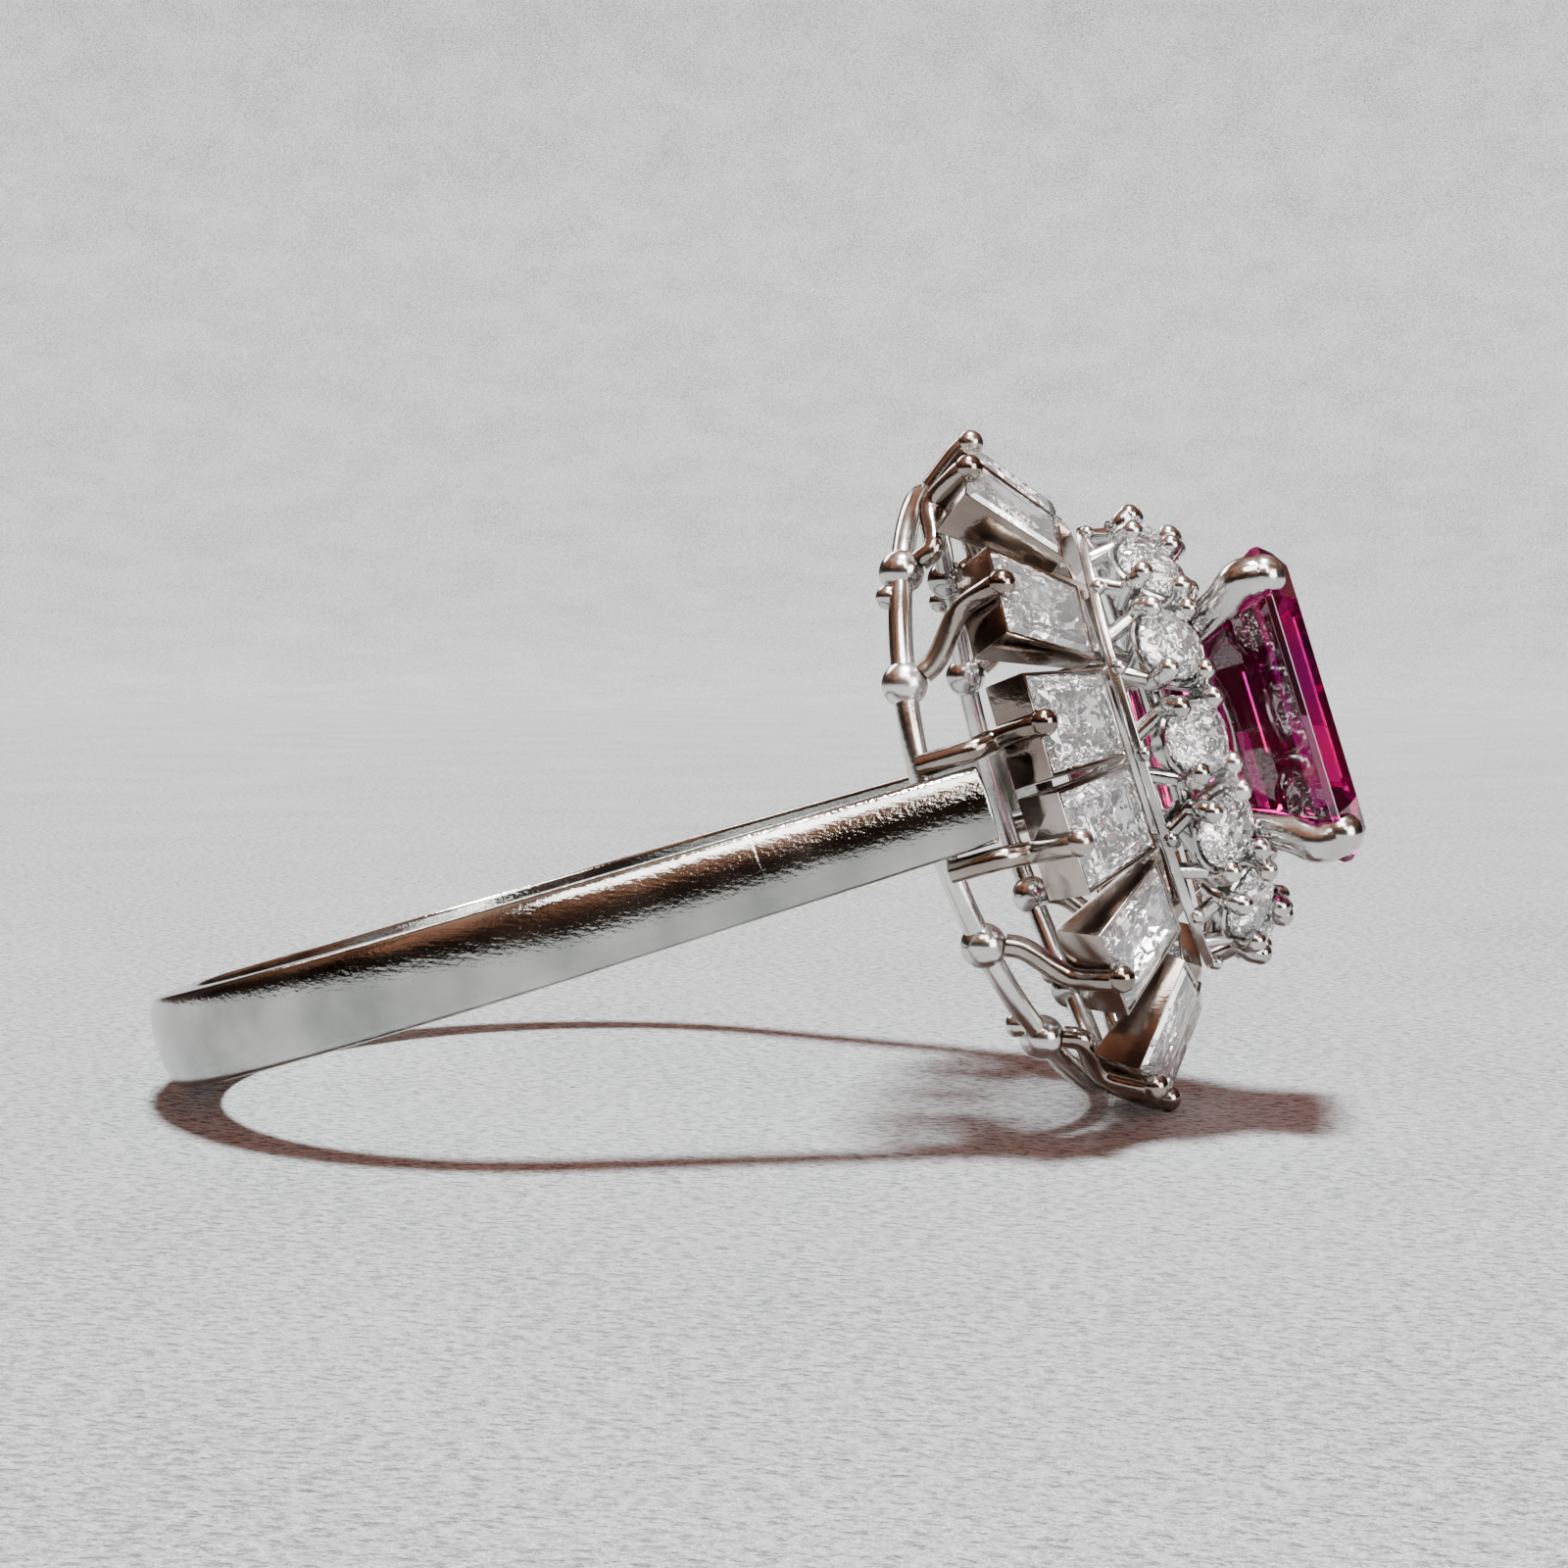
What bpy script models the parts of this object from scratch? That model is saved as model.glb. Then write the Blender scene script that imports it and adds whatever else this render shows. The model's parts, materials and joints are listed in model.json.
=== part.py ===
"""Cocktail ring: an octagonal step-cut ruby, a halo of round diamonds and a skirt of tapered baguettes.

Ring frame: the finger hole runs along Y, the shoulders lie along X, and the ruby faces +Z.
The centre of the hoop is the frame's origin. The ring empty lays the whole ring on its side.
Metal pieces and stones are separate objects, as the goldsmith and the setter join them.
"""

import math

import bmesh
import bpy
from mathutils import Matrix, Vector

MM = 0.001
FIT = 0.02

# Pose: the finger axis leans back from the vertical by this much, on the back of the hoop and a claw.
LEAN = math.radians(17.4)

# Shank
OUTER_RADIUS = 10.25
BACK_HALF_WIDTH = 1.14
HEAD_HALF_WIDTH = 0.84
BACK_THICKNESS = 1.3
HEAD_THICKNESS = 1.08
DOME = 0.34
EDGE = 0.12
SHOULDER_ANGLE = math.radians(109.0)
SHOULDER_RUN = 8.6
ARC_STEPS = 40
RUN_STEPS = 4

# Gallery rail under the skirt, saddle shaped to follow the finger
RAIL_A = 5.89
RAIL_B = 7.16
RAIL_LOW = 10.05
RAIL_HIGH = 11.19
RAIL_RADIUS = 0.26
BEAD_RADIUS = 0.5
PIP_RADIUS = 0.28
BEAD_B = math.radians(24.1)
BEAD_C = math.radians(48.2)
PIP_TURN = math.radians(43.0)

# Inner rail between the baguettes and the halo
INNER_A = 4.12
INNER_B = 5.3
INNER_Z = 14.5
INNER_RADIUS = 0.13
GRAIN_RADIUS = 0.2

# Baguettes: (x, y) of the inner end of the girdle, direction, height there, slope
STATIONS = (
    (4.47, 1.06, 6.0, 14.20, 33.0),
    (3.82, 3.14, 32.0, 14.14, 34.0),
    (2.45, 5.06, 66.0, 14.02, 36.0),
    (0.0, 5.76, 90.0, 13.94, 37.0),
)
BAGUETTE_LENGTH = 2.46
BAGUETTE_INNER = 1.78
BAGUETTE_OUTER = 2.06
BAGUETTE_CROWN = 0.24
BAGUETTE_GIRDLE = 0.06
BAGUETTE_PAVILION = 0.62

# Collets
WALL = 0.09
WALL_DEPTH_OUT = 1.04
WALL_DEPTH_IN = 0.42
WALL_RISE = 0.04
BAR_RADIUS = 0.25
TIP_RADIUS = 0.29

# Halo
HALO_A = 3.58
HALO_B = 4.68
HALO_Z = 15.8
HALO_TILT = math.radians(45.0)
HALO_COUNT = 12
ROUND_RADIUS = 0.84
ROUND_CROWN = 0.26
ROUND_PAVILION = 0.72
ROUND_GIRDLE = 0.05
CLAW_RADIUS = 0.19

# Seat ring under the halo cups
SEAT_A = 3.1
SEAT_B = 4.14
SEAT_Z = 15.06
SEAT_RADIUS = 0.2
STRUT_RADIUS = 0.13
STRUTS = 8

# Ruby and its setting
RUBY_HALF_WIDTH = 2.85
RUBY_HALF_LENGTH = 3.65
RUBY_CORNER = 1.15
RUBY_GIRDLE_Z = 18.1
RUBY_GIRDLE = 0.16
RUBY_CROWN = 0.5
RUBY_PAVILION = 2.7
RUBY_CLAW_RADIUS = 0.48
BASE_A = 1.7
BASE_B = 2.25
BASE_Z = 14.35
BASE_RADIUS = 0.26
CLAW_STRUT_RADIUS = 0.14


def clear_scene():
    for obj in list(bpy.data.objects):
        bpy.data.objects.remove(obj, do_unlink=True)
    for mesh in list(bpy.data.meshes):
        bpy.data.meshes.remove(mesh)


def material(name, colour, metallic, roughness, ior=1.45, transmission=0.0):
    made = bpy.data.materials.new(name)
    made.use_nodes = True
    made.diffuse_color = (*colour, 1.0)
    shader = made.node_tree.nodes["Principled BSDF"]
    shader.inputs["Base Color"].default_value = (*colour, 1.0)
    shader.inputs["Metallic"].default_value = metallic
    shader.inputs["Roughness"].default_value = roughness
    shader.inputs["IOR"].default_value = ior
    shader.inputs["Transmission Weight"].default_value = transmission
    return made


def mesh_object(name, bm):
    """An object from a bmesh given in millimetres."""
    bmesh.ops.remove_doubles(bm, verts=bm.verts, dist=1e-4)
    bmesh.ops.recalc_face_normals(bm, faces=bm.faces)
    bmesh.ops.scale(bm, vec=(MM, MM, MM), verts=bm.verts)
    mesh = bpy.data.meshes.new(name)
    bm.to_mesh(mesh)
    bm.free()
    obj = bpy.data.objects.new(name, mesh)
    bpy.context.scene.collection.objects.link(obj)
    return obj


def evaluated_mesh(obj):
    graph = bpy.context.evaluated_depsgraph_get()
    return bpy.data.meshes.new_from_object(obj.evaluated_get(graph))


def combine(base, others, operation):
    """The base with the other objects added or cut away, and those objects removed."""
    for other in others:
        modifier = base.modifiers.new(operation.lower(), "BOOLEAN")
        modifier.operation = operation
        modifier.solver = "EXACT"
        modifier.object = other
        mesh = evaluated_mesh(base)
        base.modifiers.clear()
        base.data = mesh
        bpy.data.objects.remove(other, do_unlink=True)
    return base


def smooth_path(points, steps):
    """Points along a Catmull-Rom curve through the given ones."""
    points = [Vector(point) for point in points]
    padded = [2 * points[0] - points[1], *points, 2 * points[-1] - points[-2]]
    path = []
    for a, b, c, d in zip(padded, padded[1:], padded[2:], padded[3:]):
        for step in range(steps):
            t = step / steps
            path.append(
                0.5 * (2 * b + (c - a) * t + (2 * a - 5 * b + 4 * c - d) * t * t
                       + (3 * b - a - 3 * c + d) * t ** 3)
            )
    path.append(points[-1])
    return path


def curve_object(name, path, cyclic, swell=None):
    curve = bpy.data.curves.new(name, "CURVE")
    curve.dimensions = "3D"
    spline = curve.splines.new("POLY")
    spline.points.add(len(path) - 1)
    for point, place, share in zip(spline.points, path, swell or [1.0] * len(path)):
        point.co = (*(Vector(place) * MM), 1.0)
        point.radius = share
    spline.use_cyclic_u = cyclic
    guide = bpy.data.objects.new(name, curve)
    bpy.context.scene.collection.objects.link(guide)
    return guide


def wire(name, path, radius, cyclic=False, sides=8, swell=None):
    """A round wire along the path: a curve bevelled by a circle, swell being its relative radii."""
    circle = []
    for step in range(sides):
        angle = math.tau * step / sides
        circle.append(Vector((radius * math.cos(angle), radius * math.sin(angle), 0)))
    profile = curve_object("profile", circle, True)
    guide = curve_object(name, path, cyclic, swell)
    guide.data.bevel_mode = "OBJECT"
    guide.data.bevel_object = profile
    guide.data.use_fill_caps = True
    mesh = evaluated_mesh(guide)
    bpy.data.objects.remove(guide, do_unlink=True)
    bpy.data.objects.remove(profile, do_unlink=True)
    bm = bmesh.new()
    bm.from_mesh(mesh)
    bmesh.ops.scale(bm, vec=(1 / MM, 1 / MM, 1 / MM), verts=bm.verts)
    return mesh_object(name, bm)


def ball(name, centre, radius, detail=2):
    bm = bmesh.new()
    bmesh.ops.create_icosphere(
        bm, subdivisions=detail, radius=radius, matrix=Matrix.Translation(centre)
    )
    return mesh_object(name, bm)


def tapered_block(name, x_in, x_out, half_in, half_out, top, low_in, low_out):
    """A block whose width and depth change from its inner end to its outer end."""
    bm = bmesh.new()
    bmesh.ops.create_cube(bm, size=2.0)
    for vert in bm.verts:
        outer = vert.co.x > 0
        half = half_out if outer else half_in
        low = low_out if outer else low_in
        vert.co.x = x_out if outer else x_in
        vert.co.y = half if vert.co.y > 0 else -half
        vert.co.z = top if vert.co.z > 0 else low
    return mesh_object(name, bm)


def cut(bm, point, normal):
    """One facet: everything beyond the plane is ground away."""
    bmesh.ops.bisect_plane(
        bm,
        geom=list(bm.verts) + list(bm.edges) + list(bm.faces),
        dist=1e-5,
        plane_co=point,
        plane_no=normal,
        clear_outer=True,
    )
    edges = [edge for edge in bm.edges if edge.is_boundary]
    if edges:
        bmesh.ops.holes_fill(bm, edges=edges, sides=0)
    bmesh.ops.remove_doubles(bm, verts=bm.verts, dist=2e-4)


def slanted(azimuth, steepness, up):
    """Outward facet normal at this azimuth, steepness above the girdle plane."""
    return Vector(
        (
            math.sin(steepness) * math.cos(azimuth),
            math.sin(steepness) * math.sin(azimuth),
            math.cos(steepness) * up,
        )
    )


def round_brilliant(name):
    bm = bmesh.new()
    bmesh.ops.create_cone(
        bm, cap_ends=True, segments=16, radius1=ROUND_RADIUS, radius2=ROUND_RADIUS,
        depth=2.0, matrix=Matrix.Rotation(math.pi / 16, 4, "Z"),
    )
    cut(bm, (0, 0, ROUND_CROWN), (0, 0, 1))
    girdle = ROUND_GIRDLE / 2
    reach = ROUND_RADIUS * math.cos(math.pi / 16)
    eighth = math.pi / 4
    pavilion = math.atan2(ROUND_PAVILION, reach)
    for turn in range(8):
        azimuth = turn * eighth
        along = Vector((math.cos(azimuth), math.sin(azimuth), 0))
        cut(bm, along * reach + Vector((0, 0, girdle)), slanted(azimuth, math.radians(34.0), 1))
        cut(bm, along * reach - Vector((0, 0, girdle)), slanted(azimuth, pavilion, -1))
    for turn in range(16):
        azimuth = (turn + 0.5) * eighth / 2
        along = Vector((math.cos(azimuth), math.sin(azimuth), 0))
        cut(bm, along * ROUND_RADIUS + Vector((0, 0, girdle)),
            slanted(azimuth, math.radians(40.0), 1))
        cut(bm, along * ROUND_RADIUS - Vector((0, 0, girdle)),
            slanted(azimuth, pavilion + math.radians(2.0), -1))
    for turn in range(8):
        azimuth = (turn + 0.5) * eighth
        along = Vector((math.cos(azimuth), math.sin(azimuth), 0))
        cut(bm, along * 0.5 * ROUND_RADIUS + Vector((0, 0, ROUND_CROWN)),
            slanted(azimuth, math.radians(20.0), 1))
    return mesh_object(name, bm)


def baguette(name):
    """A tapered baguette, its wide end at +X: one crown step and two pavilion steps."""
    half = BAGUETTE_LENGTH / 2
    middle = (BAGUETTE_INNER + BAGUETTE_OUTER) / 4
    flare = math.atan2((BAGUETTE_OUTER - BAGUETTE_INNER) / 2, BAGUETTE_LENGTH)
    bm = bmesh.new()
    bmesh.ops.create_cube(bm, size=4.0)
    cut(bm, (0, 0, BAGUETTE_CROWN), (0, 0, 1))
    cut(bm, (0, 0, -BAGUETTE_GIRDLE - BAGUETTE_PAVILION), (0, 0, -1))
    sides = (
        (Vector((half, 0, 0)), 0.0),
        (Vector((-half, 0, 0)), math.pi),
        (Vector((0, middle, 0)), math.pi / 2 + flare),
        (Vector((0, -middle, 0)), -math.pi / 2 - flare),
    )
    for point, azimuth in sides:
        cut(bm, point, slanted(azimuth, math.pi / 2, 0))
    low = Vector((0, 0, -BAGUETTE_GIRDLE))
    for point, azimuth in sides:
        outward = slanted(azimuth, math.pi / 2, 0)
        cut(bm, point, slanted(azimuth, math.radians(38.0), 1))
        cut(bm, point + low, slanted(azimuth, math.radians(56.0), -1))
        cut(bm, point + low - 0.18 * outward - Vector((0, 0, 0.267)),
            slanted(azimuth, math.radians(38.0), -1))
    return mesh_object(name, bm)


def ruby_sides():
    """(point, azimuth) of the eight sides of the octagon."""
    corner = Vector((RUBY_HALF_WIDTH - RUBY_CORNER / 2, RUBY_HALF_LENGTH - RUBY_CORNER / 2, 0))
    sides = []
    for turn in range(4):
        sides.append(
            (
                Vector((RUBY_HALF_WIDTH * math.cos(turn * math.pi / 2),
                        RUBY_HALF_LENGTH * math.sin(turn * math.pi / 2), 0)),
                turn * math.pi / 2,
            )
        )
    for x_side in (1, -1):
        for y_side in (1, -1):
            sides.append(
                (
                    Vector((x_side * corner.x, y_side * corner.y, 0)),
                    math.atan2(y_side, x_side),
                )
            )
    return sides


def octagon_ruby(name, clearance=0.0):
    """Crown in two steps and pavilion in three, all parallel to the girdle."""
    bm = bmesh.new()
    bmesh.ops.create_cube(bm, size=12.0)
    cut(bm, (0, 0, RUBY_GIRDLE / 2 + RUBY_CROWN + clearance), (0, 0, 1))
    cut(bm, (0, 0, -RUBY_GIRDLE / 2 - RUBY_PAVILION - clearance), (0, 0, -1))
    for point, azimuth in ruby_sides():
        outward = slanted(azimuth, math.pi / 2, 0)
        cut(bm, point + clearance * outward, outward)
    up_steps = ((0.0, 0.0, 48.0), (0.24, 0.267, 33.0))
    down_steps = ((0.0, 0.0, 57.0), (0.55, 0.847, 47.0), (1.35, 1.705, 38.0))
    for point, azimuth in ruby_sides():
        outward = slanted(azimuth, math.pi / 2, 0)
        for inset, rise, angle in up_steps:
            place = point - inset * outward + Vector((0, 0, RUBY_GIRDLE / 2 + rise))
            facing = slanted(azimuth, math.radians(angle), 1)
            cut(bm, place + clearance * facing, facing)
        for inset, drop, angle in down_steps:
            place = point - inset * outward - Vector((0, 0, RUBY_GIRDLE / 2 + drop))
            facing = slanted(azimuth, math.radians(angle), -1)
            cut(bm, place + clearance * facing, facing)
    return mesh_object(name, bm)


def shank_section(half_width, thickness):
    """D section, (across the band, out from the finger), flat inside and domed outside."""
    shoulder = thickness - DOME
    points = [(EDGE - half_width, 0.0), (half_width - EDGE, 0.0), (half_width, EDGE)]
    steps = 8
    for step in range(steps + 1):
        angle = math.pi * step / steps
        points.append((half_width * math.cos(angle), shoulder + DOME * math.sin(angle) ** 0.9))
    points.append((-half_width, EDGE))
    return points


def shank_stations():
    """(outer point, outward direction, share of the way to the head) along the band."""
    stations = []
    for step in range(RUN_STEPS, 0, -1):
        stations.append((-SHOULDER_ANGLE, SHOULDER_RUN * step / RUN_STEPS))
    for step in range(ARC_STEPS + 1):
        stations.append((SHOULDER_ANGLE * (2 * step / ARC_STEPS - 1), 0.0))
    for step in range(1, RUN_STEPS + 1):
        stations.append((SHOULDER_ANGLE, SHOULDER_RUN * step / RUN_STEPS))
    total = SHOULDER_ANGLE * OUTER_RADIUS + SHOULDER_RUN
    for angle, run in stations:
        outward = Vector((math.sin(angle), 0, -math.cos(angle)))
        onward = Vector((math.cos(angle), 0, math.sin(angle))) * math.copysign(1, angle)
        share = (abs(angle) * OUTER_RADIUS + run) / total
        yield OUTER_RADIUS * outward + run * onward, outward, share


def shank(name):
    """The band, lofted through its sections from one shoulder round to the other."""
    bm = bmesh.new()
    rings = []
    for place, outward, share in shank_stations():
        half_width = BACK_HALF_WIDTH + (HEAD_HALF_WIDTH - BACK_HALF_WIDTH) * share
        thickness = BACK_THICKNESS + (HEAD_THICKNESS - BACK_THICKNESS) * share ** 2
        ring = []
        for across, out in shank_section(half_width, thickness):
            point = place + (out - thickness) * outward + Vector((0, across, 0))
            ring.append(bm.verts.new(point))
        rings.append(ring)
    count = len(rings[0])
    for ring, following in zip(rings, rings[1:]):
        for index in range(count):
            after = (index + 1) % count
            bm.faces.new((ring[index], ring[after], following[after], following[index]))
    bm.faces.new(rings[0])
    bm.faces.new(rings[-1])
    return mesh_object(name, bm)


def oval_point(a, b, angle, low, high):
    rise = low + (high - low) * math.sin(angle) ** 2
    return Vector((a * math.cos(angle), b * math.sin(angle), rise))


def oval_path(a, b, low, high, steps):
    return [oval_point(a, b, math.tau * step / steps, low, high) for step in range(steps)]


def rail_point(angle):
    return oval_point(RAIL_A, RAIL_B, angle, RAIL_LOW, RAIL_HIGH)


def quadrants(angle):
    return (angle, math.pi - angle, math.pi + angle, -angle)


def gallery_rail(name):
    """The saddle-shaped rail with the beads where the claw bars meet it."""
    rail = wire(name, oval_path(RAIL_A, RAIL_B, RAIL_LOW, RAIL_HIGH, 48), RAIL_RADIUS, True)
    beads = []
    for angle in (*quadrants(BEAD_B), *quadrants(BEAD_C)):
        beads.append(ball("bead", rail_point(angle), BEAD_RADIUS))
    for angle in quadrants(PIP_TURN):
        beads.append(ball("pip", rail_point(angle) - Vector((0, 0, 0.28)), PIP_RADIUS))
    return combine(rail, beads, "UNION")


def leaning_frame(place, azimuth, slope):
    """X runs outward and down the slope, Y along the rim, Z out of the table."""
    radial = Vector((math.cos(azimuth), math.sin(azimuth), 0))
    up = Vector((0, 0, 1))
    x_axis = math.cos(slope) * radial - math.sin(slope) * up
    z_axis = math.sin(slope) * radial + math.cos(slope) * up
    y_axis = z_axis.cross(x_axis)
    turn = Matrix((x_axis, y_axis, z_axis)).transposed().to_4x4()
    return Matrix.Translation(place) @ turn


def baguette_frames():
    """(frame at the middle of the girdle, station number, side signs) round the skirt."""
    frames = []
    for number, (x, y, degrees, height, slope) in enumerate(STATIONS):
        x_sides = (1, -1) if x else (1,)
        for x_side in x_sides:
            for y_side in (1, -1):
                azimuth = math.atan2(
                    y_side * math.sin(math.radians(degrees)),
                    x_side * math.cos(math.radians(degrees)) if x else 0.0,
                )
                inner = Vector((x_side * x, y_side * y, height))
                start = leaning_frame(inner, azimuth, math.radians(slope))
                middle = start @ Matrix.Translation((BAGUETTE_LENGTH / 2, 0, 0))
                frames.append((azimuth % math.tau, middle, number, x_side, y_side))
    frames.sort(key=lambda item: item[0])
    return frames


def stem_start(number, x_side, y_side):
    """Where a claw bar leaves the shoulder, a bead or the rail."""
    if number == 0:
        return [Vector((x_side * 6.5, y_side * 1.16, 10.2)),
                Vector((x_side * 6.62, y_side * 1.17, 11.3))]
    if number == 3:
        rail = rail_point(y_side * math.pi / 2)
        return [rail + Vector((0, y_side * 0.16, 0.27))]
    angle = math.atan2(y_side, x_side)
    bead_angle = BEAD_B if number == 1 else BEAD_C
    bead = rail_point(math.atan2(y_side * math.sin(bead_angle), x_side * math.cos(bead_angle)))
    lean = Vector((x_side * 0.02, y_side * 0.12, 0.5)).normalized()
    start = bead + (BEAD_RADIUS + FIT) * lean
    middle = start + Vector((x_side * 0.1 * math.cos(angle), y_side * 0.24, 0.4))
    return [start, middle]


def collet(name, frame, number, x_side, y_side):
    """A thin-walled box round one baguette, with the claw bar up its outer end."""
    half = BAGUETTE_LENGTH / 2
    inner = BAGUETTE_INNER / 2 + FIT
    outer = BAGUETTE_OUTER / 2 + FIT
    body = tapered_block(
        name, -half - FIT - WALL, half + FIT + WALL, inner + WALL, outer + WALL,
        WALL_RISE, -WALL_DEPTH_IN, -WALL_DEPTH_OUT,
    )
    hollow = tapered_block(
        "hollow", -half - FIT, half + FIT, inner, outer, 1.0, -2.0, -2.0
    )
    combine(body, [hollow], "DIFFERENCE")
    reach = half + FIT + WALL + 0.6 * BAR_RADIUS
    start = [frame.inverted() @ point for point in stem_start(number, x_side, y_side)]
    path = [
        *start,
        Vector((reach + 0.03, 0, 0.08 - WALL_DEPTH_OUT)),
        Vector((reach, 0, -0.1)),
        Vector((half + 0.14, 0, 0.27)),
    ]
    bar = wire("bar", smooth_path(path, 2), BAR_RADIUS)
    tip = ball("tip", path[-1], TIP_RADIUS)
    return combine(body, [bar, tip], "UNION")


def even_turns(a, b, count):
    """Ellipse angles that share the rim into equal lengths, the first at zero."""
    fine = 2880
    reach = [0.0]
    for step in range(fine):
        one = oval_point(a, b, math.tau * step / fine, 0, 0)
        two = oval_point(a, b, math.tau * (step + 1) / fine, 0, 0)
        reach.append(reach[-1] + (two - one).length)
    turns = []
    for number in range(count):
        wanted = reach[-1] * number / count
        step = next(i for i, length in enumerate(reach) if length >= wanted - 1e-9)
        turns.append(math.tau * step / fine)
    return turns


def halo_frames():
    frames = []
    for turn in even_turns(HALO_A, HALO_B, HALO_COUNT):
        place = Vector((HALO_A * math.cos(turn), HALO_B * math.sin(turn), HALO_Z))
        azimuth = math.atan2(math.sin(turn) / HALO_B, math.cos(turn) / HALO_A)
        frames.append(leaning_frame(place, azimuth, HALO_TILT))
    return frames


def halo_cup(name):
    """A tapered collar and four claws for one round diamond."""
    bm = bmesh.new()
    bmesh.ops.create_cone(
        bm, cap_ends=True, segments=12, radius1=0.56, radius2=0.93, depth=0.5,
        matrix=Matrix.Translation((0, 0, -0.37)),
    )
    cup = mesh_object(name, bm)
    claws = []
    for turn in range(4):
        azimuth = (turn + 0.5) * math.pi / 2
        along = Vector((math.cos(azimuth), math.sin(azimuth), 0))
        up = Vector((0, 0, 1))
        path = [
            along * 0.42 - up * 0.5,
            along * 1.06 - up * 0.02,
            along * 0.9 + up * 0.28,
            along * 0.73 + up * 0.36,
        ]
        claws.append(wire("claw", path, CLAW_RADIUS, False, 6, (1.0, 1.0, 1.05, 0.55)))
    combine(cup, claws, "UNION")
    bm = bmesh.new()
    bmesh.ops.create_cone(
        bm, cap_ends=True, segments=12, radius1=0.35, radius2=0.88, depth=0.7,
        matrix=Matrix.Translation((0, 0, -0.37)),
    )
    return combine(cup, [mesh_object("bore", bm)], "DIFFERENCE")


def inner_rail(name):
    path = oval_path(INNER_A, INNER_B, INNER_Z, INNER_Z, 44)
    rail = wire(name, path, INNER_RADIUS, True, 6)
    frames = baguette_frames()
    grains = []
    for one, following in zip(frames, frames[1:] + frames[:1]):
        first = one[1] @ Vector((-BAGUETTE_LENGTH / 2, 0, 0))
        second = following[1] @ Vector((-BAGUETTE_LENGTH / 2, 0, 0))
        middle = (first + second) / 2
        turn = math.atan2(middle.y / INNER_B, middle.x / INNER_A)
        place = oval_point(INNER_A, INNER_B, turn, INNER_Z, INNER_Z)
        grains.append(ball("grain", place + Vector((0, 0, 0.1)), GRAIN_RADIUS, 1))
    return combine(rail, grains, "UNION")


def seat_ring(name):
    """The bearer under the halo cups, with struts out to the inner rail."""
    ring = wire(name, oval_path(SEAT_A, SEAT_B, SEAT_Z, SEAT_Z, 36), SEAT_RADIUS, True, 6)
    struts = []
    for step in range(STRUTS):
        turn = math.tau * (step + 0.4) / STRUTS
        start = oval_point(SEAT_A, SEAT_B, turn, SEAT_Z - 0.05, SEAT_Z - 0.05)
        end = oval_point(INNER_A, INNER_B, turn, INNER_Z, INNER_Z)
        onward = (end - start).normalized()
        stop = end - (INNER_RADIUS + 3 * FIT) * onward
        struts.append(wire("strut", [start, stop], STRUT_RADIUS, False, 6))
    return combine(ring, struts, "UNION")


def ruby_setting(name):
    """Four heavy claws rising from an oval bearer, notched to the stone's girdle."""
    base = wire(name, oval_path(BASE_A, BASE_B, BASE_Z, BASE_Z, 28), BASE_RADIUS, True)
    parts = []
    for x_side in (1, -1):
        for y_side in (1, -1):
            path = [
                Vector((x_side * 1.36, y_side * 1.7, 14.25)),
                Vector((x_side * 1.68, y_side * 2.06, 15.7)),
                Vector((x_side * 2.12, y_side * 2.6, 17.0)),
                Vector((x_side * 2.4, y_side * 3.0, 17.6)),
                Vector((x_side * 2.4, y_side * 3.0, 18.06)),
            ]
            turn = math.atan2(y_side * 2.0 / SEAT_B, x_side * 1.6 / SEAT_A)
            bearer = oval_point(SEAT_A, SEAT_B, turn, SEAT_Z - 0.1, SEAT_Z - 0.1)
            inward = Vector((path[1].x - bearer.x, path[1].y - bearer.y, 0)).normalized()
            stop = bearer + (SEAT_RADIUS + FIT) * inward
            foot = Vector((path[0].x, path[0].y, 14.9))
            parts.append(wire("strut", [foot, stop], CLAW_STRUT_RADIUS, False, 6))
            parts.append(wire("claw", smooth_path(path, 2), RUBY_CLAW_RADIUS, False, 10))
            parts.append(ball("tip", path[-1], RUBY_CLAW_RADIUS * 1.01))
    combine(base, parts, "UNION")
    bearing = octagon_ruby("bearing", FIT)
    bearing.data.transform(Matrix.Translation((0, 0, RUBY_GIRDLE_Z * MM)))
    return combine(base, [bearing], "DIFFERENCE")


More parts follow.
